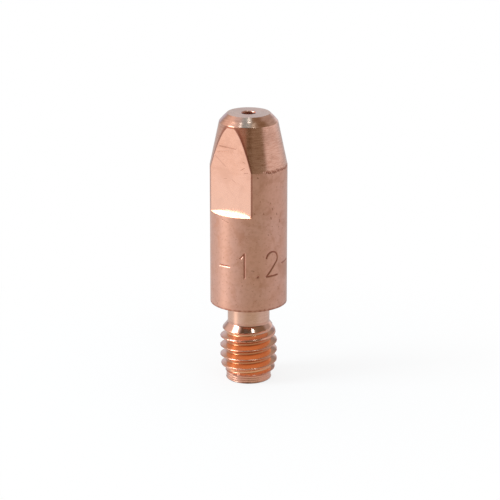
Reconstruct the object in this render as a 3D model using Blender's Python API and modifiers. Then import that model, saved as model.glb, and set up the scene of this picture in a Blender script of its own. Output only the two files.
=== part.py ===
"""A welding contact tip, turned from one piece of copper.

The tip stands on its rear end, centred on the Z axis, with the nose on top. Its M6
thread and relief neck are at the bottom, and two wrench flats are cut into the nose,
facing +Y and -Y. The welding wire runs through the bore from the rear end to the nose.
Sizes are in metres and +Z is up.
"""

import math

import bmesh
import bpy
from mathutils import Matrix, Vector

MM = 0.001

# Body and nose
OVERALL_LENGTH = 28.0 * MM
BODY_DIAMETER = 7.8 * MM
NOSE_LENGTH = 5.3 * MM
NOSE_DIAMETER = 6.0 * MM
NOSE_CHAMFER_HEIGHT = 0.85 * MM
TIP_FACE_DIAMETER = 4.4 * MM
SHOULDER_EDGE_BREAK = 0.08 * MM

# Wrench flats, measured down from the tip face
WIDTH_ACROSS_FLATS = 5.9 * MM
FLAT_LENGTH = 9.85 * MM

# Stem: a relief neck under the shoulder, then the thread, then a plain pilot
STEM_LENGTH = 8.33 * MM
NECK_DIAMETER = 4.3 * MM
NECK_LENGTH = 2.1 * MM
PILOT_DIAMETER = 4.56 * MM
PILOT_LENGTH = 0.8 * MM
PILOT_EDGE_BREAK = 0.1 * MM

# Rolled thread: its crests rise from the rolling blank over about one turn at each end
THREAD_DIAMETER = 5.88 * MM
THREAD_PITCH = 1.0 * MM
THREAD_DEPTH = 0.555 * MM
THREAD_CREST_WIDTH = 0.15 * MM
THREAD_FLANK_ANGLE = math.radians(30.0)
THREAD_FIRST_GROOVE = 0.46 * MM
ROLLING_BLANK_DIAMETER = 5.3 * MM
BLANK_CHAMFER_LENGTH = 0.35 * MM
CREST_RISE_LENGTH = 0.85 * MM
CREST_FADE_LENGTH = 1.0 * MM
NECK_FLARE_LENGTH = 0.65 * MM

# Bore for a 1.2 mm wire, with a lead-in at the rear that guides the wire in
BORE_DIAMETER = 1.4 * MM
LEAD_IN_DIAMETER = 3.0 * MM
LEAD_IN_HALF_ANGLE = math.radians(30.0)

# How far a cutter reaches past the surface that it cuts
CUT_MARGIN = 0.05 * MM
FLAT_CUTTER_MARGIN = 1.0 * MM

# Corners closer than this are one corner
WELD_DISTANCE = 0.001 * MM

# Facets around the axis
SEGMENTS = 72
SMOOTH_ANGLE = math.radians(25.0)

# Copper
COPPER_COLOUR = (0.76, 0.42, 0.29, 1.0)
COPPER_ROUGHNESS = 0.32


def clear_scene():
    """Remove the objects that are already in the scene."""
    for scene_object in list(bpy.data.objects):
        bpy.data.objects.remove(scene_object, do_unlink=True)


def new_collection(name):
    """Make an empty collection in the scene."""
    collection = bpy.data.collections.new(name)
    bpy.context.scene.collection.children.link(collection)
    return collection


def copper():
    """The material of the tip: bare copper with a machined finish."""
    material = bpy.data.materials.new("copper")
    material.use_nodes = True
    shader = material.node_tree.nodes["Principled BSDF"]
    shader.inputs["Base Color"].default_value = COPPER_COLOUR
    shader.inputs["Metallic"].default_value = 1.0
    shader.inputs["Roughness"].default_value = COPPER_ROUGHNESS
    return material


def closed_profile(name, points, collection):
    """A closed outline in the XZ plane, from (radius, height) pairs."""
    outline = bmesh.new()
    corners = [outline.verts.new((radius, 0.0, height)) for radius, height in points]
    for start, end in zip(corners, corners[1:] + corners[:1]):
        outline.edges.new((start, end))
    mesh = bpy.data.meshes.new(name)
    outline.to_mesh(mesh)
    outline.free()
    profile = bpy.data.objects.new(name, mesh)
    collection.objects.link(profile)
    return profile


def add_screw(profile, turns=1, rise=0.0):
    """Turn a profile around Z, and raise it by the given amount in each turn."""
    screw = profile.modifiers.new("Turn", "SCREW")
    screw.axis = "Z"
    screw.angle = math.tau
    screw.screw_offset = rise
    screw.iterations = turns
    screw.steps = SEGMENTS
    screw.render_steps = SEGMENTS
    screw.use_merge_vertices = False


def add_cut(target, cutter):
    """Cut one object out of another with an exact Boolean."""
    cut = target.modifiers.new("Cut " + cutter.name, "BOOLEAN")
    cut.operation = "DIFFERENCE"
    cut.solver = "EXACT"
    cut.object = cutter


def hide_cutter(cutter):
    """Show a cutter as wires only, and leave it out of renders."""
    cutter.display_type = "WIRE"
    cutter.hide_render = True


def bake_modifiers(target):
    """Replace an object's mesh by the one that its modifiers make."""
    depsgraph = bpy.context.evaluated_depsgraph_get()
    baked = bpy.data.meshes.new_from_object(target.evaluated_get(depsgraph))
    target.modifiers.clear()
    target.data = baked


def weld_corners(target):
    """Join the doubled corners that a cut leaves where two facet edges cross."""
    welded = bmesh.new()
    welded.from_mesh(target.data)
    bmesh.ops.remove_doubles(welded, verts=welded.verts, dist=WELD_DISTANCE)
    welded.to_mesh(target.data)
    welded.free()


def turned_blank_points():
    """The turned outline with its bore: down the outer side, in at the rear, up the bore."""
    body_radius = BODY_DIAMETER / 2
    neck_radius = NECK_DIAMETER / 2
    pilot_radius = PILOT_DIAMETER / 2
    rolling_radius = ROLLING_BLANK_DIAMETER / 2
    crest_radius = THREAD_DIAMETER / 2
    lead_in_radius = LEAD_IN_DIAMETER / 2
    bore_radius = BORE_DIAMETER / 2

    nose_base = OVERALL_LENGTH - NOSE_LENGTH
    neck_foot = STEM_LENGTH - NECK_LENGTH
    fade_top = neck_foot - NECK_FLARE_LENGTH
    chamfer_top = PILOT_LENGTH + BLANK_CHAMFER_LENGTH
    lead_in_depth = (lead_in_radius - bore_radius) / math.tan(LEAD_IN_HALF_ANGLE)

    nose = [
        (TIP_FACE_DIAMETER / 2, OVERALL_LENGTH),
        (NOSE_DIAMETER / 2, OVERALL_LENGTH - NOSE_CHAMFER_HEIGHT),
        (body_radius, nose_base),
    ]
    shoulder = [
        (body_radius, STEM_LENGTH + SHOULDER_EDGE_BREAK),
        (body_radius - SHOULDER_EDGE_BREAK, STEM_LENGTH),
        (neck_radius, STEM_LENGTH),
    ]
    threaded_stem = [
        (neck_radius, neck_foot),
        (rolling_radius, fade_top),
        (crest_radius, fade_top - CREST_FADE_LENGTH),
        (crest_radius, chamfer_top + CREST_RISE_LENGTH),
        (rolling_radius, chamfer_top),
        (pilot_radius, PILOT_LENGTH),
    ]
    rear_end = [
        (pilot_radius, PILOT_EDGE_BREAK),
        (pilot_radius - PILOT_EDGE_BREAK, 0.0),
        (lead_in_radius, 0.0),
    ]
    bore = [
        (bore_radius, lead_in_depth),
        (bore_radius, OVERALL_LENGTH),
    ]
    return nose + shoulder + threaded_stem + rear_end + bore


def make_thread_groove(collection):
    """A right-hand helical body that cuts the thread's groove out of the stem.

    It starts in the air below the first crest and ends in the air around the neck, so
    the groove runs out at both ends without a step.
    """
    root_radius = THREAD_DIAMETER / 2 - THREAD_DEPTH
    mouth_radius = THREAD_DIAMETER / 2 + CUT_MARGIN
    widening = math.tan(THREAD_FLANK_ANGLE)
    half_mouth = (THREAD_PITCH - THREAD_CREST_WIDTH) / 2 + CUT_MARGIN * widening
    half_root = (THREAD_PITCH - THREAD_CREST_WIDTH) / 2 - THREAD_DEPTH * widening

    start = THREAD_FIRST_GROOVE - THREAD_PITCH
    neck_radius = NECK_DIAMETER / 2
    flare_slope = NECK_FLARE_LENGTH / (ROLLING_BLANK_DIAMETER / 2 - neck_radius)
    neck_foot = STEM_LENGTH - NECK_LENGTH
    clear_height = neck_foot - (root_radius - neck_radius) * flare_slope
    turns = math.ceil((clear_height + half_mouth - start) / THREAD_PITCH)

    section = [
        (mouth_radius, start + half_mouth),
        (mouth_radius, start - half_mouth),
        (root_radius, start - half_root),
        (root_radius, start + half_root),
    ]
    groove = closed_profile("thread_groove", section, collection)
    add_screw(groove, turns=turns, rise=THREAD_PITCH)
    bake_modifiers(groove)

    body = bmesh.new()
    body.from_mesh(groove.data)
    bmesh.ops.holes_fill(body, edges=body.edges, sides=len(section))
    bmesh.ops.recalc_face_normals(body, faces=body.faces)
    body.to_mesh(groove.data)
    body.free()
    hide_cutter(groove)
    return groove


def make_flat_cutter(side, collection):
    """A box that takes one wrench flat off the nose; side is +1 for +Y and -1 for -Y."""
    inner = WIDTH_ACROSS_FLATS / 2
    outer = BODY_DIAMETER / 2 + FLAT_CUTTER_MARGIN
    bottom = OVERALL_LENGTH - FLAT_LENGTH
    top = OVERALL_LENGTH + FLAT_CUTTER_MARGIN
    size = Vector((2 * outer, outer - inner, top - bottom))
    centre = Vector((0.0, side * (inner + outer) / 2, (bottom + top) / 2))

    name = "flat_cutter_front" if side < 0 else "flat_cutter_back"
    box = bmesh.new()
    bmesh.ops.create_cube(box, size=1.0, matrix=Matrix.Diagonal(size).to_4x4())
    mesh = bpy.data.meshes.new(name)
    box.to_mesh(mesh)
    box.free()
    cutter = bpy.data.objects.new(name, mesh)
    cutter.location = centre
    collection.objects.link(cutter)
    hide_cutter(cutter)
    return cutter


def make_contact_tip(collection, cutters):
    """The whole tip: a turned blank, less the thread's groove and the two flats."""
    tip = closed_profile("contact_tip", turned_blank_points(), collection)
    add_screw(tip)
    add_cut(tip, make_thread_groove(cutters))
    for side in (-1, 1):
        add_cut(tip, make_flat_cutter(side, cutters))
    bpy.context.view_layer.update()
    bake_modifiers(tip)
    weld_corners(tip)

    tip.data.materials.clear()
    tip.data.materials.append(copper())
    tip.data.shade_smooth()
    tip.data.set_sharp_from_angle(angle=SMOOTH_ANGLE)
    return tip


def main():
    clear_scene()
    parts = new_collection("welding_contact_tip")
    cutters = new_collection("cutters")
    make_contact_tip(parts, cutters)


main()
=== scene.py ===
"""The looks of a welding contact tip: one turned piece of copper in a plain studio.

The fine surface is a single closed mesh, laid as rings of points along the tip's outline:
down the outside, in at the rear end and up the bore. It replaces the CAD node, keeps its
overall size, and adds the rounded edges, the rolled thread's full form, the engraved wire
size and small wear. Sizes are in millimetres and angles in degrees unless a name says
otherwise. Angles around the tip that place what the camera sees are counted to the right
from the camera's side.
"""

import math

import bmesh
import bpy
import numpy as np
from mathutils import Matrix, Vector


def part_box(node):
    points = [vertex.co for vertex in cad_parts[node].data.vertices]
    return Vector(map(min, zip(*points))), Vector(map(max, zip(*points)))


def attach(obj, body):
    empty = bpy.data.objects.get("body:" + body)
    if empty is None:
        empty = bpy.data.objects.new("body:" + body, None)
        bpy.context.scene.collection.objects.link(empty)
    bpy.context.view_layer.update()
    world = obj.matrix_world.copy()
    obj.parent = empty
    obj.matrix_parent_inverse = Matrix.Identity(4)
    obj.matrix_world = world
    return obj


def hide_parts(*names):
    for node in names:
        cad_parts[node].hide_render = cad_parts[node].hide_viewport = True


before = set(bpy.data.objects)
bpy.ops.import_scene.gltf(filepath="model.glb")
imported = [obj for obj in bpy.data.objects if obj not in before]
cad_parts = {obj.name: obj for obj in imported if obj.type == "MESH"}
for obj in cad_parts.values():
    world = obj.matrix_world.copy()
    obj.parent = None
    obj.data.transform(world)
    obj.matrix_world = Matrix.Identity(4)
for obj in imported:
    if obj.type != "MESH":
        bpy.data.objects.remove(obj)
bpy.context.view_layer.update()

NODE = "contact_tip"
MM = 0.001

# Sizes read from the CAD part
high_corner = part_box(NODE)[1]
LENGTH = high_corner.z / MM
BODY_RADIUS = high_corner.x / MM

# Nose and flats
TIP_FACE_RADIUS = 2.16
NOSE_RADIUS = 2.96
NOSE_LENGTH = 5.3
NOSE_BASE = LENGTH - NOSE_LENGTH
CHAMFER_HEIGHT = 0.85
CHAMFER_FOOT = LENGTH - CHAMFER_HEIGHT
CHAMFER_BULGE = 0.02
FLAT_DISTANCE = 2.98
FLAT_LENGTH = 9.85
LEDGE_HEIGHT = LENGTH - FLAT_LENGTH
FLAT_CENTRES = (-90.0, 90.0)

# Stem, from the shoulder down
SHOULDER_HEIGHT = 8.30
NECK_RADIUS = 2.14
NECK_FOOT = 6.12
FLARE_FOOT = 5.3
PILOT_TOP = 0.8
THREAD_RADIUS = 2.94
THREAD_DEPTH = 0.64
THREAD_PITCH = 1.0
THREAD_CREST_WIDTH = 0.03
THREAD_CREST_BLEND = 0.03
THREAD_ROOT_BLEND = 0.06
THREAD_FIRST_GROOVE = 0.43
THREAD_RUN_OUT = 0.8
FLANK_ANGLE = 30.0

# Heights and radii of the stem before the thread is rolled into it
STEM_OUTLINE = (
    (0.0, 2.22), (0.05, 2.30), (0.12, 2.33), (0.22, 2.31), (0.30, 2.28), (0.74, 2.28), (0.82, 2.32),
    (1.10, 2.68), (1.9, THREAD_RADIUS), (4.50, THREAD_RADIUS), (4.92, 2.78), (5.25, 2.71),
    (5.46, 2.65), (NECK_FOOT, NECK_RADIUS), (SHOULDER_HEIGHT, NECK_RADIUS),
)

# Bore
BORE_RADIUS = 0.7
LEAD_IN_RADIUS = 1.5
LEAD_IN_DEPTH = 1.386

# Roundings of the edges, from the nose down
BORE_ROUNDING = 0.12
TIP_EDGE_ROUNDING = 0.03
CHAMFER_ROUNDING = 1.6
CHAMFER_FOOT_ROUNDING = 0.10
FLAT_EDGE_BLEND = 0.05
SHOULDER_ROUNDING = 0.04
NECK_ROUNDING = 0.1
LEAD_IN_ROUNDING = 0.04

# Engraved wire size: signs with the angle of each
ENGRAVING = (("-", -38.5), ("1", -7.0), (".", 14.0), ("2", 37.5), ("-", 68.0))
TEXT_FOOT = 11.92
TEXT_HEIGHT = 2.53
TEXT_WIDTH = 1.4
STROKE_HALF_WIDTH = 0.135
STROKE_DEPTH = 0.08

# Torn line left at the foot of the cone. A range is a start, a stop and the lengths of the
# fade inside each. Waves are pairs of a frequency and a phase.
BURR_RANGE = (20.0, 104.0, 8.0, 8.0)
BURR_DEPTH = 0.06
BURR_HALF_WIDTH = 0.195
BURR_FADE = 0.15
BURR_WANDER = 0.03
BURR_WAVES = ((0.71, 0.0), (1.37, 1.0), (0.23, 2.0))
BURR_LEAN = 9.0
BURR_FILL = 0.75
BURR_DASHES = (1.9, 0.0)
BURR_DASH_SHARE = 0.7
BURR_GAPS = (0.67, 0.0)
BURR_GAP_SHARE = 0.3

# Small wear, tool marks, darker lines along the flats' edges and the shoulder's rim, and a painted
# shade line at the neck's foot. The crests' waves also have a frequency along the height, between the
# two.
FLAT_EDGE_DARKENING = 0.8
FLAT_EDGE_DARKENING_WIDTH = 0.22
RIM_DARKENING = 0.7
RIM_DARKENING_SWING = 0.15
RIM_WAVES = ((0.37, 1.0), (0.83, 0.0))
RIM_DARKENING_HEIGHT = 0.36
CREST_WEAR = 0.05
CREST_WEAR_RANGE = (1.2, FLARE_FOOT - 0.2, 0.4, 0.5)
CREST_WAVES = ((17, 5.1, 0.0), (29, -3.7, 1.0), (41, 8.3, 2.0))
# The next two place the painted shade line at the neck's foot: its range of angles and its half width
FOOT_SHADE_RANGE = (-34.0, 46.0, 12.0, 12.0)
FOOT_SHADE_HALF_WIDTH = 0.09
PILOT_RIDGE_FOOT = 0.08
PILOT_RIDGE_PITCH = 0.22
PILOT_RIDGE_DEPTH = 0.027

# Columns of the mesh: counts on the nose, and steps around the axis elsewhere
FLAT_COLUMNS = 36
SIDE_COLUMNS = 70
BURR_COLUMNS = 190
COLUMN_CROWDING = 0.75
BODY_STEP = 3.0
TEXT_STEP = 0.6
STEM_STEP = 2.4
BORE_STEP = 4.0

# Rows of the mesh: the gaps between rings, and the margins that a finer gap covers
NOSE_GAP = 0.25
CONE_GAP = 0.12
BURR_GAP = 0.035
BURR_REACH = 0.3
BODY_GAP = 0.54
TEXT_GAP = 0.045
TEXT_MARGIN = 0.15
TEXT_SIDE_MARGIN = 14.0
RIM_GAP = 0.2
NECK_GAP = 0.3
THREAD_GAP = 0.03
BORE_GAP = 1.0
LEDGE_ROW = 0.08
EDGE_ROW = 0.3
SHOULDER_ROW = 0.4
RIM_ROW = 0.1

# The mesh's small limits
SUPPORT_SHARE = 0.6
SUPPORT_REACH = 0.03
LEAST_HALF_ANGLE = 5.0
LEAST_COSINE = 0.2
TIP_FACE_DEPTH = 0.02
TOLERANCE = 0.01
MERGE_DISTANCE = 0.0005
ROUND_OFF = 1e-9
SHARP_ANGLE = 62.0

# Camera and picture
CAMERA_AZIMUTH = 36.6
VIEW_ANGLE = CAMERA_AZIMUTH - 90.0
CAMERA_ELEVATION = 17.66
CAMERA_DISTANCE = 220.3
TARGET_HEIGHT = 13.65
NEAR_CLIP = 10.0
PICTURE_SIZE = 500.0
FOCAL_PIXELS = 2173.2
AXIS_COLUMN = 248.6
SENSOR_WIDTH = 36.0

# Copper colours
BARE = (0.90, 0.475, 0.34)
WARM = (0.96, 0.49, 0.33)
WORKED = (0.92, 0.45, 0.31)
PALE = (0.98, 0.58, 0.42)
FACE = (0.89, 0.51, 0.35)
FACE_EDGE = (1.0, 1.0, 0.78)
# Painted colour in the thread's grooves: inter-reflection orange on the flanks and shade at the roots
FLANK_REFLECTION = (0.96, 0.475, 0.26)
ROOT_SHADE = (0.72, 0.27, 0.12)
# Dark lines: the engraved strokes, the torn line at the cone's foot, and the darker lines along the
# flats' edges and the shoulder's rim
DARK_LINE = (0.50, 0.17, 0.10)
# Painted shade in the corner at the neck's foot
FOOT_SHADE = (0.28, 0.14, 0.08)
WHITE = (1.0, 1.0, 1.0)

# What tarnish and wear do to a finish's own colour, channel by channel, but for the two marked below
DULL = (0.80, 0.73, 0.66)
BLOOM = (1.02, 1.07, 1.14)
SPECK = (0.62, 0.48, 0.42)
HOLLOW = (0.70, 0.58, 0.52)
# Paler and bluer, towards the foot of the flats
LOW_PALING = (1.0, 1.10, 1.16)
SCRATCH = (0.50, 0.36, 0.30)
# Painted shade on the ledge's colour
SHADED = (1.0, 0.90, 0.80)

# Patches of tarnish: the noise's scale, detail, roughness and distortion, and the values
# between which a patch sets in
BLOTCHES = (0.7, 5.0, 0.62, 0.6, 0.46, 0.70)
MOTTLE = (2.6, 3.0, 0.6, 0.3, 0.45, 0.72)
BLOOMS = (0.33, 3.0, 0.5, 0.3, 0.42, 0.68)
SPECKS = (5.0, 2.0, 0.5, 0.2, 0.65, 0.72)
BLOOM_SHARE = 0.8
MOTTLE_SHARE = 0.6
GRAIN_SCALE = 16.0
GRAIN_HEIGHT = 0.18
# Heights over which the flats turn from paler to their own colour
LOW_PALING_HEIGHTS = (17.0, 25.0)

# Tool marks: the noise's scale along each axis, its detail and its distortion
TOOL_MARKS = {
    "drawn": ((7.0, 7.0, 0.35), 2.0, 0.0),
    "milled": ((0.9, 0.9, 5.0), 3.0, 0.5),
    "turned": ((1.1, 1.1, 8.5), 2.0, 0.3),
}
FACED_RINGS = 7.0
HOLLOW_RANGE = (0.38, 0.56)

# Scratches: how strongly each colours the metal, its depth in tool marks and its sharp core
SCRATCH_SHARE = 0.75
SCRATCH_DEPTH = 3.0
SCRATCH_CORE = 0.3

# What each kind of wear adds to the roughness, and their mean, which a finish leaves out
BLOTCH_ROUGHNESS = 0.10
GRAIN_ROUGHNESS = 0.08
MARK_ROUGHNESS = 0.08
MEAN_ROUGHNESS = 0.1

# The clear coat, and how far stretched highlights turn from the tangent
COAT_ROUGHNESS = 0.15
QUARTER_TURN = 0.25

# Studio, as a reflection shows it. Each card is an angle to the right of the camera, the
# half widths of its full and its fading part, and two colours: near and far on the floor,
# low down and high up in the room.
FLOOR_SIZE = 4000.0
FLOOR_DEPTH = 0.02
FLOOR_FAR = (120.0, 500.0)
# A painted pool of light near the tip's foot, as reflections see the floor: where it fades, and its
# colour
FOOT_LIGHT_POOL_RANGE = (8.0, 18.0)
FOOT_LIGHT_POOL = (0.62, 0.60, 0.54)
# A painted contact shadow, as reflections see the floor: a ring's radius, the reach of its full dark and
# of its fade, and its colour
CONTACT_SHADOW_RING = (2.33, 0.03, 0.25)
CONTACT_SHADOW_COLOUR = (0.05, 0.04, 0.04)
FLOOR_BASE = (0.45, 0.44, 0.395)
FLOOR_CARDS = (
    (-165.0, 20.0, 70.0, (0.58, 0.58, 0.58), (0.58, 0.58, 0.58)),
    (112.0, 30.0, 80.0, (0.53, 0.53, 0.54), (0.75, 0.80, 0.85)),
    (-79.0, 8.0, 76.0, (0.60, 0.63, 0.66), (0.60, 0.63, 0.66)),
    (-73.0, 2.0, 15.0, (1.06, 1.07, 1.06), (1.06, 1.07, 1.06)),
)
ROOM_HIGH = (6.0, 20.0)
ROOM_BASE = (0.225, 0.205, 0.145)
ROOM_CARDS = (
    (180.0, 20.0, 45.0, (0.53, 0.61, 0.80), (0.51, 0.59, 0.78)),
    (-36.0, 20.0, 33.0, (0.33, 0.18, 0.12), (0.34, 0.30, 0.27)),
    (2.0, 3.0, 11.0, (0.13, 0.10, 0.05), (0.16, 0.13, 0.08)),
    (-92.0, 25.0, 60.0, (0.62, 0.62, 0.62), (0.76, 0.73, 0.74)),
    (120.0, 58.0, 72.0, (0.80, 0.82, 0.86), (0.21, 0.18, 0.13)),
    (140.0, 30.0, 50.0, (0.82, 0.84, 0.88), (0.40, 0.42, 0.43)),
    (161.0, 8.0, 20.0, (0.75, 0.78, 0.84), (0.26, 0.30, 0.38)),
    (-175.0, 14.0, 28.0, (0.56, 0.65, 0.84), (0.61, 0.69, 0.89)),
)

# Round cards overhead: an angle to the right, an elevation, two radii and a colour
SKY_CARDS = (
    (-15.0, 48.0, 18.0, 32.0, (0.10, 0.08, 0.05)),
    (-80.0, 62.0, 10.0, 22.0, (0.56, 0.63, 0.74)),
    (-24.0, 73.0, 6.0, 20.0, (0.31, 0.54, 0.70)),
)

# Softboxes: a name, an angle to the right, an elevation, a distance, a width, a height, the
# luminance of the face and a colour
COOL_LIGHT = (0.84, 0.94, 1.0)
ICE_LIGHT = (0.55, 0.84, 1.0)
LAMPS = (
    ("left_softbox", -76.0, 27.0, 300.0, 110.0, 190.0, 10.0, COOL_LIGHT),
    ("front_lamp", 4.0, 74.0, 280.0, 36.0, 22.0, 5.0, ICE_LIGHT),
    ("side_lamp", -52.0, 62.0, 280.0, 28.0, 26.0, 2.6, ICE_LIGHT),
    ("far_lamp", 29.0, 56.0, 280.0, 38.0, 30.0, 16.0, ICE_LIGHT),
)
AMBIENT = 0.85

# The paper under the tip: how white it looks close to the tip, and where it turns all white
PAPER = (0.8, 0.8, 0.8)
NEAR_WHITENESS = 0.8
WHITE_RANGE = (4.0, 40.0)


def smooth_min(a, b, blend):
    """The lower of two values, rounded where they meet within the blend."""
    share = np.clip(0.5 + 0.5 * (b - a) / blend, 0.0, 1.0)
    return b + (a - b) * share - blend * share * (1.0 - share)


def smooth_max(a, b, blend):
    """The higher of two values, rounded where they meet within the blend."""
    return -smooth_min(-a, -b, blend)


def smooth_step(value):
    """0 below 0 and 1 above 1, with a smooth rise between."""
    share = np.clip(value, 0.0, 1.0)
    return share * share * (3.0 - 2.0 * share)


def within(value, start, stop, rise, fall):
    """1 inside a range and 0 outside it, with a smooth rise and fall just inside its ends."""
    return smooth_step((value - start) / rise) * smooth_step((stop - value) / fall)


def waves(value, *terms):
    """A sum of sine waves, each a pair of a frequency and a phase."""
    return sum(np.sin(frequency * value + phase) for frequency, phase in terms)


def cosines(*angles):
    """The cosines of some angles."""
    return [math.cos(math.radians(angle)) for angle in angles]


def steps_between(length, gap):
    """How many steps no longer than the gap cover a length."""
    return max(1, math.ceil(length / gap - ROUND_OFF))


def spaced(start, stop, gap):
    """Even values from start to stop, both kept, no further apart than the gap."""
    return np.linspace(start, stop, steps_between(abs(stop - start), gap) + 1)


def from_camera_side(angles):
    """Angles around the axis, counted from the camera's side, from -180 to 180."""
    return (angles - VIEW_ANGLE + 180.0) % 360.0 - 180.0


# Outline of the turned form

def rounded_outline(corners, gap, arc_count=4):
    """Points along an outline of (radius, height, rounding) corners, no further apart than the gap.

    A rounding has a point close beside each end, which keeps its shading from spreading.
    """
    nodes = [np.array(corner[:2], float) for corner in corners]
    roundings = [corner[2] for corner in corners[1:-1]]
    pieces = [nodes[0][None, :]]
    for before, corner, after, rounding in zip(nodes, nodes[1:], nodes[2:], roundings):
        if rounding == 0.0:
            pieces.append(corner[None, :])
            continue
        to_before = (before - corner) / np.linalg.norm(before - corner)
        to_after = (after - corner) / np.linalg.norm(after - corner)
        half = math.acos(float(np.clip(to_before @ to_after, -1, 1))) / 2
        reach = rounding / math.tan(half)
        middle = to_before + to_after
        centre = corner + middle / np.linalg.norm(middle) * rounding / math.sin(half)
        first = corner + to_before * reach - centre
        last = corner + to_after * reach - centre
        turn = math.pi - 2 * half
        shares = np.linspace(0.0, 1.0, arc_count)[:, None]
        arc = (np.sin((1 - shares) * turn) * first + np.sin(shares * turn) * last) / math.sin(turn)
        support = min(SUPPORT_SHARE * rounding, SUPPORT_REACH)
        pieces.append((corner + to_before * (reach + support))[None, :])
        pieces.append(centre + arc)
        pieces.append((corner + to_after * (reach + support))[None, :])
    pieces.append(nodes[-1][None, :])
    return filled(np.concatenate(pieces), lambda height: gap)


def filled(points, gap_at):
    """The outline with points added, so that no two are further apart than the gap at their height."""
    pieces = [points[:1]]
    for start, stop in zip(points, points[1:]):
        steps = steps_between(np.linalg.norm(stop - start), gap_at((start[1] + stop[1]) / 2))
        pieces.append(start + (stop - start) * np.linspace(0, 1, steps + 1)[1:, None])
    return np.concatenate(pieces)


# Columns around the axis

def flat_half_angle(radius):
    """Half the angle that a flat takes out of a circle of this radius."""
    return math.degrees(math.acos(min(1.0, FLAT_DISTANCE / radius)))


def nose_columns(half_angle, side_columns=SIDE_COLUMNS):
    """Angles around the nose, crowded towards the edges of both flats, with a column on each."""
    angles = []
    for centre in FLAT_CENTRES:
        for start, stop, count in (
            (centre - half_angle, centre + half_angle, FLAT_COLUMNS),
            (centre + half_angle, centre + 180.0 - half_angle, side_columns),
        ):
            share = np.arange(count) / count
            crowded = share - COLUMN_CROWDING * np.sin(share * math.tau) / math.tau
            angles.append(start + (stop - start) * crowded)
    return np.concatenate(angles)


def body_columns():
    """Angles around the body, fine behind the engraving and coarse over the rest."""
    start = VIEW_ANGLE + ENGRAVING[0][1] - TEXT_SIDE_MARGIN
    stop = VIEW_ANGLE + ENGRAVING[-1][1] + TEXT_SIDE_MARGIN
    fine = spaced(start, stop, TEXT_STEP)[:-1]
    coarse = spaced(stop, start + 360.0, BODY_STEP)[:-1]
    return np.concatenate([fine, coarse])


# Engraved strokes

def arc_points(centre, radius, start, stop, count=12):
    """Points on an arc, as (along, up) pairs."""
    angles = np.radians(np.linspace(start, stop, count))
    return [(centre[0] + radius * math.cos(a), centre[1] + radius * math.sin(a)) for a in angles]


def glyph(name):
    """The strokes of one sign as lists of points, centred on 0 and standing on 0."""
    half = TEXT_WIDTH / 2
    if name == "1":
        return [[(-0.35, TEXT_HEIGHT - 0.5), (0.05, TEXT_HEIGHT), (0.05, 0.0)]]
    if name == "2":
        bowl = arc_points((0.0, TEXT_HEIGHT - half), half, 170.0, -25.0)
        return [bowl + [(-half, 0.0), (half, 0.0)]]
    if name == ".":
        return [[(-0.04, 0.05), (0.04, 0.09)]]
    return [[(-0.6, TEXT_HEIGHT * 0.41), (0.6, TEXT_HEIGHT * 0.42)]]


def segment_distance(along, up, start, stop):
    """Distance from points to the straight line between two points."""
    direction = np.subtract(stop, start)
    span = float(direction @ direction)
    share = np.clip(((along - start[0]) * direction[0] + (up - start[1]) * direction[1]) / span, 0, 1)
    return np.hypot(along - start[0] - share * direction[0], up - start[1] - share * direction[1])


def engraved_share(angles, height):
    """How deep the engraving is at each angle of one height, from 0 to 1."""
    nearest = np.full(len(angles), np.inf)
    for name, place in ENGRAVING:
        along = np.radians(from_camera_side(angles - place)) * BODY_RADIUS
        for stroke in glyph(name):
            for start, stop in zip(stroke, stroke[1:]):
                nearest = np.minimum(nearest, segment_distance(along, height - TEXT_FOOT, start, stop))
    return smooth_step(1.0 - nearest / STROKE_HALF_WIDTH)


# Thread and pilot

def stem_outline(height):
    """Radius of the turned stem before the thread is rolled into it."""
    heights, radii = zip(*STEM_OUTLINE)
    return float(np.interp(height, heights, radii))


def crest_wear(angles, height):
    """How much the rolling left off the crest at each angle of one height."""
    terms = [(around, along * height + phase) for around, along, phase in CREST_WAVES]
    ragged = (1.0 + waves(np.radians(angles), *terms) / len(terms)) / 2
    return within(height, *CREST_WEAR_RANGE) * CREST_WEAR * ragged


def thread_radius(angles, height):
    """Radius of the stem at each angle of one height: the rolled thread under its turned outline."""
    turns = (height - THREAD_FIRST_GROOVE) / THREAD_PITCH - angles / 360.0
    from_groove = np.abs((turns + 0.5) % 1.0 - 0.5) * THREAD_PITCH
    root_radius = THREAD_RADIUS - THREAD_DEPTH
    slope = 1.0 / math.tan(math.radians(FLANK_ANGLE))
    half_root = (THREAD_PITCH - THREAD_CREST_WIDTH) / 2 - THREAD_DEPTH / slope
    flank = root_radius + (from_groove - half_root) * slope
    groove = smooth_max(flank, root_radius, THREAD_ROOT_BLEND)
    return smooth_min(groove, stem_outline(height) - crest_wear(angles, height), THREAD_CREST_BLEND)


def painted_foot_shade(angles, height):
    """How dark the painted shade in the corner at the neck's foot is, from 0 to 1, on the camera's side.
    """
    reach = within(from_camera_side(angles), *FOOT_SHADE_RANGE)
    return reach * smooth_step(1.0 - abs(height - NECK_FOOT) / FOOT_SHADE_HALF_WIDTH)


def pilot_ridge(height):
    """How far the tool's shallow rings cut into the pilot at this height."""
    if height < PILOT_RIDGE_FOOT or height > PILOT_TOP:
        return 0.0
    turn = math.tau * (height - PILOT_RIDGE_FOOT) / PILOT_RIDGE_PITCH
    return PILOT_RIDGE_DEPTH * (1.0 - math.cos(turn)) / 2


# Surface slots, by the way that each surface was made
DRAWN, TURNED, POLISHED, MILLED, LEDGE, ROLLED, FACED, BORED, NECK, FLARE, PILOT = range(11)


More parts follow.
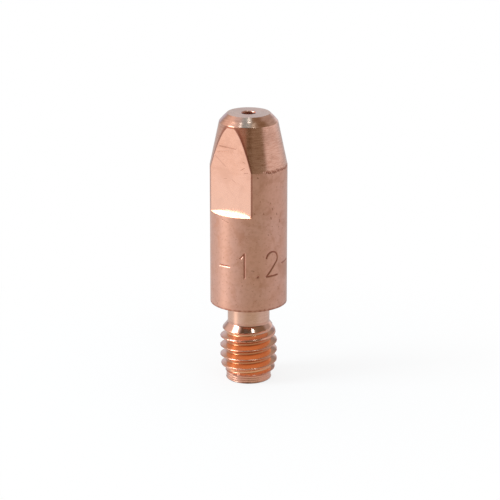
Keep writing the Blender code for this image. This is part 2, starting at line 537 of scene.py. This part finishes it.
class Rings:
    """Rings of points along the closed outline, later joined into one mesh.

    Each ring holds its columns' angles and points, how deeply each point is cut or worn, which
    also carries painted shade, and the surface slot of the faces that lead on to the next ring.
    """

    def __init__(self):
        self.angles = []
        self.points = []
        self.cuts_and_shades = []
        self.slots = []

    def add(self, angles, radii, height, slot, cut=0.0):
        """One ring: angles in degrees, a height, and radii, slots and cuts for each point or for all."""
        turn = np.radians(angles)
        radii = np.broadcast_to(radii, turn.shape)
        heights = np.broadcast_to(height, turn.shape)
        self.angles.append(np.asarray(angles, float))
        self.points.append(np.stack([radii * np.cos(turn), radii * np.sin(turn), heights], 1))
        self.cuts_and_shades.append(np.broadcast_to(cut, turn.shape))
        self.slots.append(np.broadcast_to(slot, turn.shape))

    def faces(self):
        """Quads between rings with the same columns, triangles between the others, and slots."""
        starts = np.cumsum([0] + [len(ring) for ring in self.points])
        faces = []
        slots = []
        for upper in range(len(self.points)):
            lower = (upper + 1) % len(self.points)
            first, second = starts[upper], starts[lower]
            count = len(self.points[upper])
            if count == len(self.points[lower]):
                i = np.arange(count)
                j = (i + 1) % count
                faces += np.stack([first + i, second + i, second + j, first + j], 1).tolist()
                slots += self.slots[upper].tolist()
            else:
                joined, columns = self.stitch(upper, lower, first, second)
                faces += joined
                slots += self.slots[upper][columns].tolist()
        return faces, slots

    def stitch(self, upper, lower, first, second):
        """Triangles between two rings whose columns differ, and the upper column of each.

        first and second are the numbers of the rings' first points.
        """
        a, b = self.angles[upper], self.angles[lower]
        shift = int(np.argmin((b - a[0]) % 360.0))
        b = a[0] + (np.roll(b, -shift) - a[0]) % 360.0
        a_next = np.append(a[1:], a[0] + 360.0)
        b_next = np.append(b[1:], b[0] + 360.0)
        faces = []
        columns = []
        i = j = 0
        while i < len(a) or j < len(b):
            columns.append(i % len(a))
            here = int(first + i % len(a))
            there = int(second + (j + shift) % len(b))
            if j == len(b) or (i < len(a) and a_next[i] <= b_next[j]):
                faces.append((here, there, int(first + (i + 1) % len(a))))
                i += 1
            else:
                faces.append((here, there, int(second + (j + 1 + shift) % len(b))))
                j += 1
        return faces, columns


# Nose

def burr_share(angles, height):
    """How strongly the torn line at the foot of the cone shows at each angle, from 0 to 1."""
    turn = from_camera_side(angles)
    line = NOSE_BASE + BURR_WANDER * waves(turn, *BURR_WAVES)
    leaning = turn + BURR_LEAN * (height - line)
    dashes = BURR_DASH_SHARE * waves(leaning, BURR_DASHES) + BURR_GAP_SHARE * waves(turn, BURR_GAPS)
    near = smooth_step((BURR_HALF_WIDTH - np.abs(height - line)) / BURR_FADE)
    return near * within(turn, *BURR_RANGE) * np.clip(BURR_FILL + dashes, 0.0, 1.0)


def nose_slots(radius, height, side_columns):
    """The slot of each column's faces on one ring of the nose."""
    if height > LENGTH - TIP_FACE_DEPTH:
        turned = FACED
    elif height > CHAMFER_FOOT:
        turned = POLISHED
    elif height > NOSE_BASE:
        turned = TURNED
    else:
        turned = DRAWN
    columns = np.arange(len(FLAT_CENTRES) * (FLAT_COLUMNS + side_columns))
    on_flat = columns % (FLAT_COLUMNS + side_columns) < FLAT_COLUMNS
    cut = LEDGE if height < LEDGE_HEIGHT + TOLERANCE else MILLED
    return np.where(on_flat & (radius > FLAT_DISTANCE + TOLERANCE), cut, turned)


def nose_gap(height):
    """The gap allowed between rings: fine at the burr, wide on the straight part below it."""
    if abs(height - NOSE_BASE) < BURR_REACH:
        return BURR_GAP
    return CONE_GAP if height > NOSE_BASE else NOSE_GAP


def nose_outline():
    """The nose's outline from the tip face down to the ledges, as (radius, height) points."""
    corners = (
        (TIP_FACE_RADIUS - EDGE_ROW, LENGTH, 0.0),
        (TIP_FACE_RADIUS, LENGTH, TIP_EDGE_ROUNDING),
        ((TIP_FACE_RADIUS + NOSE_RADIUS) / 2 + CHAMFER_BULGE, LENGTH - CHAMFER_HEIGHT / 2 + CHAMFER_BULGE,
         CHAMFER_ROUNDING),
        (NOSE_RADIUS, CHAMFER_FOOT, CHAMFER_FOOT_ROUNDING),
        (BODY_RADIUS, NOSE_BASE, 0.0),
        (BODY_RADIUS, LEDGE_HEIGHT, 0.0),
    )
    return filled(rounded_outline(corners, NOSE_GAP, arc_count=6), nose_gap)


def add_nose(rings):
    """Tip face edge, chamfer, cone and flats, down to just under the ledges."""
    for radius, height in nose_outline()[1:]:
        half_angle = max(LEAST_HALF_ANGLE, flat_half_angle(radius))
        side_columns = BURR_COLUMNS if abs(height - NOSE_BASE) < BURR_REACH else SIDE_COLUMNS
        angles = nose_columns(half_angle, side_columns)
        from_flat = np.abs((angles - FLAT_CENTRES[0] + 90.0) % 180.0 - 90.0)
        flat = FLAT_DISTANCE / np.maximum(np.cos(np.radians(from_flat)), LEAST_COSINE)
        burr = burr_share(angles, height)
        # A darker line along the edges of the flats
        dark_edge = FLAT_EDGE_DARKENING * smooth_step(1.0 - np.abs(radius - flat) / FLAT_EDGE_DARKENING_WIDTH)
        radii = smooth_min(radius - BURR_DEPTH * burr, flat, FLAT_EDGE_BLEND)
        slots = nose_slots(radius, height, side_columns)
        rings.add(angles, radii, height, slots, np.maximum(burr, dark_edge))
    columns = nose_columns(flat_half_angle(BODY_RADIUS))
    rings.add(columns, BODY_RADIUS, LEDGE_HEIGHT, DRAWN)
    rings.add(columns, BODY_RADIUS, LEDGE_HEIGHT - LEDGE_ROW, DRAWN)


# Body, stem and bore

def rim_darkening(angles):
    """How dark the shoulder's rim is at each angle, from 0.4 to 1."""
    return RIM_DARKENING + RIM_DARKENING_SWING * waves(from_camera_side(angles), *RIM_WAVES)


def add_body(rings):
    """The body with its engraving, down to the shoulder's edge."""
    columns = body_columns()
    text_top = TEXT_FOOT + TEXT_HEIGHT + TEXT_MARGIN
    text_foot = TEXT_FOOT - TEXT_MARGIN
    edge_start = SHOULDER_HEIGHT + EDGE_ROW
    heights = np.concatenate([
        spaced(LEDGE_HEIGHT - EDGE_ROW, text_top, BODY_GAP)[:-1],
        spaced(text_top, text_foot, TEXT_GAP),
        spaced(text_foot, edge_start, BODY_GAP)[1:],
    ])
    for height in heights:
        share = engraved_share(columns, height)
        rings.add(columns, BODY_RADIUS - STROKE_DEPTH * share, height, DRAWN, share)
    corners = (
        (BODY_RADIUS, edge_start, 0.0),
        (BODY_RADIUS, SHOULDER_HEIGHT, SHOULDER_ROUNDING),
        (BODY_RADIUS - SHOULDER_ROW, SHOULDER_HEIGHT, 0.0),
    )
    for radius, height in rounded_outline(corners, RIM_GAP)[1:]:
        # The shoulder's rim is darker towards its edge
        darkening = rim_darkening(columns) * smooth_step(1.0 - (height - SHOULDER_HEIGHT) / RIM_DARKENING_HEIGHT)
        rings.add(columns, radius, height, DRAWN if radius > BODY_RADIUS - RIM_ROW else FACED, darkening)


def add_stem(rings):
    """Neck, thread and pilot, down to the rear end."""
    columns = spaced(0.0, 360.0, STEM_STEP)[:-1]
    neck_end = NECK_FOOT + EDGE_ROW
    neck_corners = (
        (NECK_RADIUS + SHOULDER_ROW, SHOULDER_HEIGHT, 0.0),
        (NECK_RADIUS, SHOULDER_HEIGHT, NECK_ROUNDING),
        (NECK_RADIUS, neck_end, 0.0),
    )
    for radius, height in rounded_outline(neck_corners, NECK_GAP):
        rings.add(columns, radius, height, NECK)
    for height in spaced(neck_end, 0.0, THREAD_GAP)[1:]:
        radii = thread_radius(columns, height)
        if height > FLARE_FOOT:
            # The flare's rings carry the painted shade at the neck's foot
            rings.add(columns, radii, height, FLARE, painted_foot_shade(columns, height))
            continue
        run_out = smooth_step((height - PILOT_TOP) / THREAD_RUN_OUT)
        # How deep the groove is, which also sets its painted inter-reflection and shade
        groove = run_out * np.clip((stem_outline(height) - radii) / THREAD_DEPTH, 0.0, 1.0)
        slot = ROLLED if height > PILOT_TOP else PILOT
        rings.add(columns, radii - pilot_ridge(height), height, slot, groove)


def add_bore(rings):
    """Rear face, lead-in, bore and tip face, up from the rear end."""
    columns = spaced(0.0, 360.0, BORE_STEP)[:-1]
    corners = (
        (LEAD_IN_RADIUS + EDGE_ROW, 0.0, 0.0),
        (LEAD_IN_RADIUS, 0.0, LEAD_IN_ROUNDING),
        (BORE_RADIUS, LEAD_IN_DEPTH, 0.0),
        (BORE_RADIUS, LENGTH, BORE_ROUNDING),
        (BORE_RADIUS + EDGE_ROW, LENGTH, 0.0),
    )
    for radius, height in rounded_outline(corners, BORE_GAP):
        on_rear_face = height < TOLERANCE and radius > LEAD_IN_RADIUS
        on_tip_face = height > LENGTH - TOLERANCE and radius > BORE_RADIUS + BORE_ROUNDING / 2
        rings.add(columns, radius, height, FACED if on_rear_face or on_tip_face else BORED)


def merge_coincident(mesh):
    """Join the points that a ledge row and the row under it share."""
    joined = bmesh.new()
    joined.from_mesh(mesh)
    bmesh.ops.remove_doubles(joined, verts=joined.verts, dist=MERGE_DISTANCE * MM)
    joined.to_mesh(mesh)
    joined.free()


def make_tip():
    """The whole tip as one closed mesh."""
    rings = Rings()
    add_nose(rings)
    add_body(rings)
    add_stem(rings)
    add_bore(rings)
    points = np.concatenate(rings.points)
    faces, slots = rings.faces()
    mesh = bpy.data.meshes.new("copper_tip")
    mesh.from_pydata((points * MM).tolist(), [], faces)
    cut_and_shade = mesh.attributes.new("cut_depth_and_shade", "FLOAT", "POINT")
    cut_and_shade.data.foreach_set("value", np.concatenate(rings.cuts_and_shades).astype(np.float32))
    mesh.polygons.foreach_set("material_index", np.array(slots, np.int32))
    merge_coincident(mesh)
    mesh.shade_smooth()
    mesh.set_sharp_from_angle(angle=math.radians(SHARP_ANGLE))
    tip = bpy.data.objects.new("copper_tip", mesh)
    bpy.context.scene.collection.objects.link(tip)
    return tip


# Shader nodes

def add_node(tree, kind, **settings):
    """A shader node with its settings and the values of its inputs."""
    node = tree.nodes.new(kind)
    for key, value in settings.items():
        if hasattr(node, key):
            setattr(node, key, value)
        else:
            node.inputs[key.replace("_", " ")].default_value = value
    return node


def connect(tree, value, socket):
    """Give a socket a number, a colour, a vector or another node's output."""
    if isinstance(value, bpy.types.NodeSocket):
        tree.links.new(value, socket)
    elif isinstance(value, tuple) and socket.type == "RGBA":
        socket.default_value = (*value, 1.0)
    else:
        socket.default_value = value


def math_node(tree, operation, first, second=None):
    """A Math node of one or two values; returns its output."""
    node = add_node(tree, "ShaderNodeMath", operation=operation)
    connect(tree, first, node.inputs[0])
    if second is not None:
        connect(tree, second, node.inputs[1])
    return node.outputs[0]


def vector_node(tree, operation, first, second=None, output=0):
    """A Vector Math node; returns the given output, where 1 is a number such as a length."""
    node = add_node(tree, "ShaderNodeVectorMath", operation=operation)
    connect(tree, first, node.inputs[0])
    if second is not None:
        connect(tree, second, node.inputs[1])
    return node.outputs[output]


def height_of(tree, vector):
    """The Z part of a vector."""
    node = add_node(tree, "ShaderNodeSeparateXYZ")
    tree.links.new(vector, node.inputs[0])
    return node.outputs["Z"]


def ranged(tree, value, low, high, to_low=0.0, to_high=1.0):
    """A value taken smoothly from one range to another, and held at both ends."""
    node = add_node(tree, "ShaderNodeMapRange", interpolation_type="SMOOTHSTEP",
                    From_Min=low, From_Max=high, To_Min=to_low, To_Max=to_high)
    tree.links.new(value, node.inputs["Value"])
    return node.outputs[0]


def mixed(tree, share, first, second):
    """A mix of two colours, each another node's output or an RGB triple."""
    node = add_node(tree, "ShaderNodeMix", data_type="RGBA")
    colour_sockets = [socket for socket in node.inputs if socket.type == "RGBA"]
    connect(tree, share, node.inputs["Factor"])
    connect(tree, first, colour_sockets[0])
    connect(tree, second, colour_sockets[1])
    return [socket for socket in node.outputs if socket.type == "RGBA"][0]


def toned(tree, colour, tone, share, strength):
    """A colour mixed towards a tone by a share, at the given strength."""
    return mixed(tree, math_node(tree, "MULTIPLY", share, strength), colour, tone)


def weighted_sum(tree, start, *terms):
    """A number plus some values, each with its weight."""
    total = start
    for value, weight in terms:
        total = math_node(tree, "ADD", math_node(tree, "MULTIPLY", value, weight), total)
    return total


def mix_shaders(tree, share, first, second):
    """A mix of the outputs of two shaders; returns its output."""
    node = add_node(tree, "ShaderNodeMixShader")
    for value, socket in zip((share, first, second), node.inputs):
        tree.links.new(value, socket)
    return node.outputs[0]


# Copper

def scaled(colour, factors):
    """A colour with each channel multiplied, kept at 1 or less."""
    return tuple(min(1.0, channel * factor) for channel, factor in zip(colour, factors))


def place_in_mm(tree, scale=(1.0, 1.0, 1.0)):
    """The place on the object in millimetres, stretched by a scale for each axis."""
    place = add_node(tree, "ShaderNodeTexCoord").outputs["Object"]
    return vector_node(tree, "MULTIPLY", place, [factor / MM for factor in scale])


def noise(tree, place, scale=1.0, detail=3.0, roughness=0.55, distortion=0.0):
    """Noise around 0.5, with features about 1 / scale millimetres apart."""
    node = add_node(tree, "ShaderNodeTexNoise", Scale=scale, Detail=detail, Roughness=roughness,
                    Distortion=distortion)
    tree.links.new(place, node.inputs["Vector"])
    return node.outputs["Fac"]


def patches(tree, place, scale, detail, roughness, distortion, low, high):
    """Soft patches of noise: 0 below the low value and 1 above the high one."""
    return ranged(tree, noise(tree, place, scale, detail, roughness, distortion), low, high)


def tool_marks(tree, kind):
    """The height of the marks that a tool left, from 0 to 1."""
    if kind == "faced":
        radius = vector_node(tree, "LENGTH", place_in_mm(tree, (1.0, 1.0, 0.0)), output=1)
        across = add_node(tree, "ShaderNodeCombineXYZ")
        connect(tree, math_node(tree, "MULTIPLY", radius, FACED_RINGS), across.inputs[0])
        return noise(tree, across.outputs[0], detail=2.0)
    scale, detail, distortion = TOOL_MARKS[kind]
    return noise(tree, place_in_mm(tree, scale), detail=detail, distortion=distortion)


def tarnished(tree, place, tint, blotches, tarnish):
    """A tint of copper with a pale bloom, dull patches and dark specks."""
    dull = scaled(tint, DULL)
    colour = toned(tree, tint, scaled(tint, BLOOM), patches(tree, place, *BLOOMS), BLOOM_SHARE)
    colour = toned(tree, colour, dull, blotches, tarnish)
    colour = toned(tree, colour, dull, patches(tree, place, *MOTTLE), MOTTLE_SHARE * tarnish)
    return toned(tree, colour, scaled(tint, SPECK), patches(tree, place, *SPECKS), tarnish)


def line_mark(tree, place, start, stop, half_width):
    """1 on a straight scratch between two places, and 0 away from it."""
    along = stop - start
    offset = vector_node(tree, "SUBTRACT", place, list(start))
    reach = vector_node(tree, "DOT_PRODUCT", offset, list(along / along.length_squared), output=1)
    share = add_node(tree, "ShaderNodeClamp")
    tree.links.new(reach, share.inputs[0])
    foot = add_node(tree, "ShaderNodeVectorMath", operation="SCALE")
    connect(tree, list(along), foot.inputs[0])
    tree.links.new(share.outputs[0], foot.inputs["Scale"])
    gap = vector_node(tree, "DISTANCE", offset, foot.outputs[0], output=1)
    return ranged(tree, gap, SCRATCH_CORE * half_width, half_width, 1.0, 0.0)


def on_body(angle, height):
    """The place on the body at an angle from the camera's side."""
    turn = math.radians(VIEW_ANGLE + angle)
    return Vector((BODY_RADIUS * math.cos(turn), BODY_RADIUS * math.sin(turn), height))


def on_front_flat(along, height):
    """The place on the flat that the camera sees, along it from its middle."""
    return Vector((along, -FLAT_DISTANCE, height))


# Handling marks: start, stop and half width
BODY_MARKS = (
    (on_body(12.8, 22.30), on_body(14.0, 22.26), 0.10),
    (on_body(8.4, 18.62), on_body(8.9, 18.60), 0.09),
    (on_body(22.0, 18.55), on_body(22.6, 18.50), 0.10),
    (on_body(34.5, 18.05), on_body(35.0, 17.90), 0.11),
    (on_body(33.5, 19.55), on_body(34.0, 19.50), 0.07),
    (on_body(37.5, 18.95), on_body(37.8, 18.80), 0.08),
    (on_body(45.5, 18.35), on_body(46.2, 18.20), 0.09),
    (on_body(51.5, 17.60), on_body(52.0, 17.35), 0.09),
    (on_body(50.0, 16.90), on_body(50.4, 16.85), 0.07),
    (on_body(29.5, 16.30), on_body(30.6, 16.25), 0.06),
    (on_body(3.5, 12.70), on_body(8.0, 12.66), 0.05),
    (on_body(-31.0, 17.55), on_body(-42.0, 17.75), 0.06),
    (on_body(140.0, 16.2), on_body(152.0, 15.4), 0.05),
    (on_body(-130.0, 10.4), on_body(-118.0, 10.9), 0.05),
)
FLAT_MARKS = (
    (on_front_flat(-1.37, 24.99), on_front_flat(-0.55, 24.97), 0.09),
    (on_front_flat(-0.55, 24.97), on_front_flat(0.65, 24.95), 0.06),
    (on_front_flat(-1.9, 24.32), on_front_flat(-0.3, 24.62), 0.04),
    (on_front_flat(-2.05, 24.02), on_front_flat(-0.56, 22.95), 0.022),
    (on_front_flat(1.5, 23.78), on_front_flat(1.75, 23.70), 0.05),
    (on_front_flat(1.26, 22.89), on_front_flat(1.70, 23.17), 0.045),
    (on_front_flat(1.66, 22.64), on_front_flat(2.1, 22.71), 0.045),
    (on_front_flat(-0.86, 21.69), on_front_flat(-0.47, 21.76), 0.032),
    (on_front_flat(0.16, 21.75), on_front_flat(0.56, 21.55), 0.03),
)


def copper(name, kind, tint, roughness, mark_depth, mark_shade=0.0, tarnish=0.5, anisotropic=0.0,
           coat=0.6, edge_tint=WHITE, paled_below=False, cut_and_shade_tints=(), cut_roughness=0.0, handling=()):
    """Bare copper with tarnish, specks, fine grain, one tool's marks and cut tints, some painted shade.
    """
    material = bpy.data.materials.new(name)
    material.use_nodes = True
    tree = material.node_tree
    shader = tree.nodes["Principled BSDF"]
    place = place_in_mm(tree)
    blotches = patches(tree, place, *BLOTCHES)
    grain = noise(tree, place, GRAIN_SCALE, detail=2.0)
    marks = tool_marks(tree, kind)
    cut_and_shade = add_node(tree, "ShaderNodeAttribute", attribute_name="cut_depth_and_shade").outputs["Fac"]

    colour = tarnished(tree, place, tint, blotches, tarnish)
    if mark_shade:
        hollows = ranged(tree, marks, *HOLLOW_RANGE, mark_shade, 0.0)
        colour = mixed(tree, hollows, colour, scaled(tint, HOLLOW))
    # The flats grow paler and bluer towards their foot
    if paled_below:
        above_paling = ranged(tree, height_of(tree, place), *LOW_PALING_HEIGHTS)
        colour = mixed(tree, above_paling, scaled(tint, LOW_PALING), colour)
    # Tints by the cut share; on the thread and the flare these paint shade and inter-reflection
    for low, high, cut_and_shade_tint in cut_and_shade_tints:
        colour = mixed(tree, ranged(tree, cut_and_shade, low, high), colour, cut_and_shade_tint)
    relief = weighted_sum(tree, marks, (grain, GRAIN_HEIGHT))
    for start, stop, half_width in handling:
        mark = line_mark(tree, place, start, stop, half_width)
        colour = toned(tree, colour, scaled(tint, SCRATCH), mark, SCRATCH_SHARE)
        relief = weighted_sum(tree, relief, (mark, -SCRATCH_DEPTH))
    tree.links.new(colour, shader.inputs["Base Color"])

    rough = weighted_sum(tree, roughness - MEAN_ROUGHNESS, (blotches, BLOTCH_ROUGHNESS),
                         (grain, GRAIN_ROUGHNESS), (marks, MARK_ROUGHNESS), (cut_and_shade, cut_roughness))
    tree.links.new(rough, shader.inputs["Roughness"])
    bump = add_node(tree, "ShaderNodeBump", Distance=mark_depth * MM)
    tree.links.new(relief, bump.inputs["Height"])
    tree.links.new(bump.outputs[0], shader.inputs["Normal"])

    shader.inputs["Metallic"].default_value = 1.0
    shader.inputs["Specular Tint"].default_value = (*edge_tint, 1.0)
    shader.inputs["Coat Weight"].default_value = coat
    shader.inputs["Coat Roughness"].default_value = COAT_ROUGHNESS
    shader.inputs["Anisotropic"].default_value = anisotropic
    if anisotropic:
        shader.inputs["Anisotropic Rotation"].default_value = QUARTER_TURN
        tangent = add_node(tree, "ShaderNodeTangent", direction_type="RADIAL", axis="Z")
        tree.links.new(tangent.outputs[0], shader.inputs["Tangent"])
    return material


def dress(tip):
    """One finish for each kind of machined surface, in the order of the slots."""
    # Dark lines: engraving, the torn line, and the darker lines at the flats' edges and the rim
    stroke = (0.0, 0.9, DARK_LINE)
    # flank and root paint inter-reflection and shade into the thread's grooves
    flank = (0.02, 0.3, FLANK_REFLECTION)
    root = (0.75, 1.0, ROOT_SHADE)
    # Painted shade for the corner at the neck's foot
    foot = (0.2, 1.0, FOOT_SHADE)
    finishes = (
        copper("copper_drawn", "drawn", BARE, roughness=0.42, mark_depth=0.003, tarnish=0.7,
               cut_and_shade_tints=(stroke,), cut_roughness=0.15, handling=BODY_MARKS),
        copper("copper_turned", "turned", BARE, roughness=0.22, mark_depth=0.008, mark_shade=0.55,
               tarnish=0.3, anisotropic=0.5, cut_and_shade_tints=(stroke,)),
        copper("copper_polished", "turned", WARM, roughness=0.20, mark_depth=0.002, mark_shade=0.35),
        copper("copper_milled", "milled", BARE, roughness=0.28, mark_depth=0.0015, mark_shade=0.15,
               tarnish=0.4, paled_below=True, handling=FLAT_MARKS),
        # The ledge's colour carries painted shade
        copper("copper_ledge", "drawn", scaled(BARE, SHADED), roughness=0.32, mark_depth=0.001,
               tarnish=0.3),
        copper("copper_rolled", "turned", WORKED, roughness=0.22, mark_depth=0.002, mark_shade=0.2,
               tarnish=0.3, coat=0.5, cut_and_shade_tints=(flank, root)),
        copper("copper_faced", "faced", FACE, roughness=0.36, mark_depth=0.006, mark_shade=0.4,
               tarnish=0.3, anisotropic=0.4, edge_tint=FACE_EDGE),
        copper("copper_bore", "turned", BARE, roughness=0.30, mark_depth=0.004, mark_shade=0.3,
               tarnish=0.6),
        copper("copper_neck", "turned", PALE, roughness=0.31, mark_depth=0.003, mark_shade=0.2,
               tarnish=0.2, anisotropic=0.5),
        copper("copper_flare", "turned", BARE, roughness=0.14, mark_depth=0.001, tarnish=0.2,
               cut_and_shade_tints=(foot,)),
        copper("copper_pilot", "turned", WORKED, roughness=0.28, mark_depth=0.003, mark_shade=0.2,
               tarnish=0.2, anisotropic=0.5),
    )
    for finish in finishes:
        tip.data.materials.append(finish)


# Studio

def aim(thing, target):
    """Turn a lamp or the camera to face a place."""
    direction = Vector(target) - thing.location
    thing.rotation_euler = direction.to_track_quat("-Z", "Y").to_euler()


def studio_direction(azimuth, elevation=0.0):
    """A direction from the object: azimuth counts to the right from the camera's side."""
    turn = math.radians(VIEW_ANGLE + azimuth)
    rise = math.radians(elevation)
    return Vector((math.cos(rise) * math.cos(turn), math.cos(rise) * math.sin(turn), math.sin(rise)))


def add_lamp(name, azimuth, elevation, distance, width, height, luminance, colour):
    """A rectangular softbox, aimed at the tip, whose face has the given luminance."""
    data = bpy.data.lights.new(name, "AREA")
    data.shape = "RECTANGLE"
    data.size = width * MM
    data.size_y = height * MM
    data.color = colour
    data.energy = luminance * math.pi * width * height * MM * MM
    lamp = bpy.data.objects.new(name, data)
    middle = Vector((0.0, 0.0, LENGTH / 2 * MM))
    lamp.location = studio_direction(azimuth, elevation) * distance * MM + middle
    aim(lamp, middle)
    bpy.context.scene.collection.objects.link(lamp)


def card_colour(tree, place, second, base, cards):
    """The colour of the cards around the object; second is the share of their second colour."""
    unit = vector_node(tree, "NORMALIZE", vector_node(tree, "MULTIPLY", place, (1.0, 1.0, 0.0)))
    colour = base
    for azimuth, full, fade, first_colour, second_colour in cards:
        towards = vector_node(tree, "DOT_PRODUCT", unit, studio_direction(azimuth), output=1)
        share = ranged(tree, towards, *cosines(fade, full))
        colour = mixed(tree, share, colour, mixed(tree, second, first_colour, second_colour))
    return colour


def floor_colour(tree, place):
    """What a reflection meets on the floor: the cards, a painted pool of light and painted contact
    shadow.
    """
    near, far = FLOOR_FAR
    pool_start, pool_stop = FOOT_LIGHT_POOL_RANGE
    shadow_rim, full, fade = CONTACT_SHADOW_RING
    distance = vector_node(tree, "LENGTH", place, output=1)
    from_pool = ranged(tree, distance, pool_start * MM, pool_stop * MM)
    base = mixed(tree, from_pool, FOOT_LIGHT_POOL, FLOOR_BASE)
    cards = card_colour(tree, place, ranged(tree, distance, near * MM, far * MM), base, FLOOR_CARDS)
    from_shadow_rim = math_node(tree, "ABSOLUTE", math_node(tree, "SUBTRACT", distance, shadow_rim * MM))
    return mixed(tree, ranged(tree, from_shadow_rim, full * MM, fade * MM), CONTACT_SHADOW_COLOUR, cards)


def room_colour(tree, direction):
    """What a reflection meets in a direction above the floor."""
    low, high = ROOM_HIGH
    height = ranged(tree, height_of(tree, direction), *cosines(90.0 - low, 90.0 - high))
    colour = card_colour(tree, direction, height, ROOM_BASE, ROOM_CARDS)
    for azimuth, elevation, full, fade, card in SKY_CARDS:
        centre = studio_direction(azimuth, elevation)
        towards = vector_node(tree, "DOT_PRODUCT", direction, centre, output=1)
        colour = mixed(tree, ranged(tree, towards, *cosines(fade, full)), colour, card)
    return colour


def sent_on(tree, rays):
    """1 for the rays that metal and glass send on, which see the studio's cards."""
    return math_node(tree, "MAXIMUM", rays.outputs["Is Glossy Ray"], rays.outputs["Is Transmission Ray"])


def glow(tree, kind, colour, strength=1.0):
    """An Emission or a Background shader of a colour; returns its output."""
    node = add_node(tree, kind, Strength=strength)
    connect(tree, colour, node.inputs["Color"])
    return node.outputs[0]


def make_floor():
    """Pale paper that looks white to the camera and keeps the object's shadow."""
    bpy.ops.mesh.primitive_plane_add(size=FLOOR_SIZE * MM, location=(0.0, 0.0, -FLOOR_DEPTH * MM))
    floor = bpy.context.object
    floor.name = "studio_floor"
    material = bpy.data.materials.new("studio_paper")
    material.use_nodes = True
    material.cycles.emission_sampling = "NONE"
    tree = material.node_tree
    tree.nodes.clear()
    rays = add_node(tree, "ShaderNodeLightPath")
    place = add_node(tree, "ShaderNodeTexCoord").outputs["Object"]
    paper = add_node(tree, "ShaderNodeBsdfDiffuse", Color=(*PAPER, 1.0)).outputs[0]
    white = glow(tree, "ShaderNodeEmission", WHITE)
    cards = glow(tree, "ShaderNodeEmission", floor_colour(tree, place))

    near, far = WHITE_RANGE
    from_tip = vector_node(tree, "LENGTH", place, output=1)
    whiteness = ranged(tree, from_tip, near * MM, far * MM, NEAR_WHITENESS, 1.0)
    to_camera = math_node(tree, "MULTIPLY", rays.outputs["Is Camera Ray"], whiteness)
    seen = mix_shaders(tree, to_camera, paper, white)
    reflected = mix_shaders(tree, sent_on(tree, rays), seen, cards)
    back = add_node(tree, "ShaderNodeNewGeometry").outputs["Backfacing"]
    clear = add_node(tree, "ShaderNodeBsdfTransparent").outputs[0]
    one_sided = mix_shaders(tree, back, reflected, clear)
    tree.links.new(one_sided, add_node(tree, "ShaderNodeOutputMaterial").inputs["Surface"])
    floor.data.materials.append(material)


def make_world():
    """White to the camera, the studio's cards to metal and glass, and an even light to the rest."""
    world = bpy.data.worlds.new("studio_world")
    bpy.context.scene.world = world
    world.use_nodes = True
    world.cycles.sampling_method = "NONE"
    tree = world.node_tree
    tree.nodes.clear()
    rays = add_node(tree, "ShaderNodeLightPath")
    direction = add_node(tree, "ShaderNodeTexCoord").outputs["Generated"]
    ambient = glow(tree, "ShaderNodeBackground", WHITE, AMBIENT)
    cards = glow(tree, "ShaderNodeBackground", room_colour(tree, direction))
    white = glow(tree, "ShaderNodeBackground", WHITE)
    reflected = mix_shaders(tree, sent_on(tree, rays), ambient, cards)
    seen = mix_shaders(tree, rays.outputs["Is Camera Ray"], reflected, white)
    tree.links.new(seen, add_node(tree, "ShaderNodeOutputWorld").inputs["Surface"])


def make_camera():
    """The camera at the photograph's angle and framing."""
    data = bpy.data.cameras.new("camera")
    data.sensor_width = SENSOR_WIDTH
    data.lens = FOCAL_PIXELS / PICTURE_SIZE * SENSOR_WIDTH
    data.shift_x = (PICTURE_SIZE / 2 - AXIS_COLUMN) / PICTURE_SIZE
    data.clip_start = NEAR_CLIP * MM
    camera = bpy.data.objects.new("camera", data)
    target = Vector((0.0, 0.0, TARGET_HEIGHT * MM))
    camera.location = studio_direction(0.0, CAMERA_ELEVATION) * CAMERA_DISTANCE * MM + target
    aim(camera, target)
    bpy.context.scene.collection.objects.link(camera)
    bpy.context.scene.camera = camera


def main():
    """Make and dress the tip and set up the studio."""
    tip = make_tip()
    dress(tip)
    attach(tip, "root")
    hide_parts(NODE)
    make_floor()
    make_world()
    for lamp in LAMPS:
        add_lamp(*lamp)
    make_camera()
    bpy.context.scene.view_settings.view_transform = "Standard"


main()
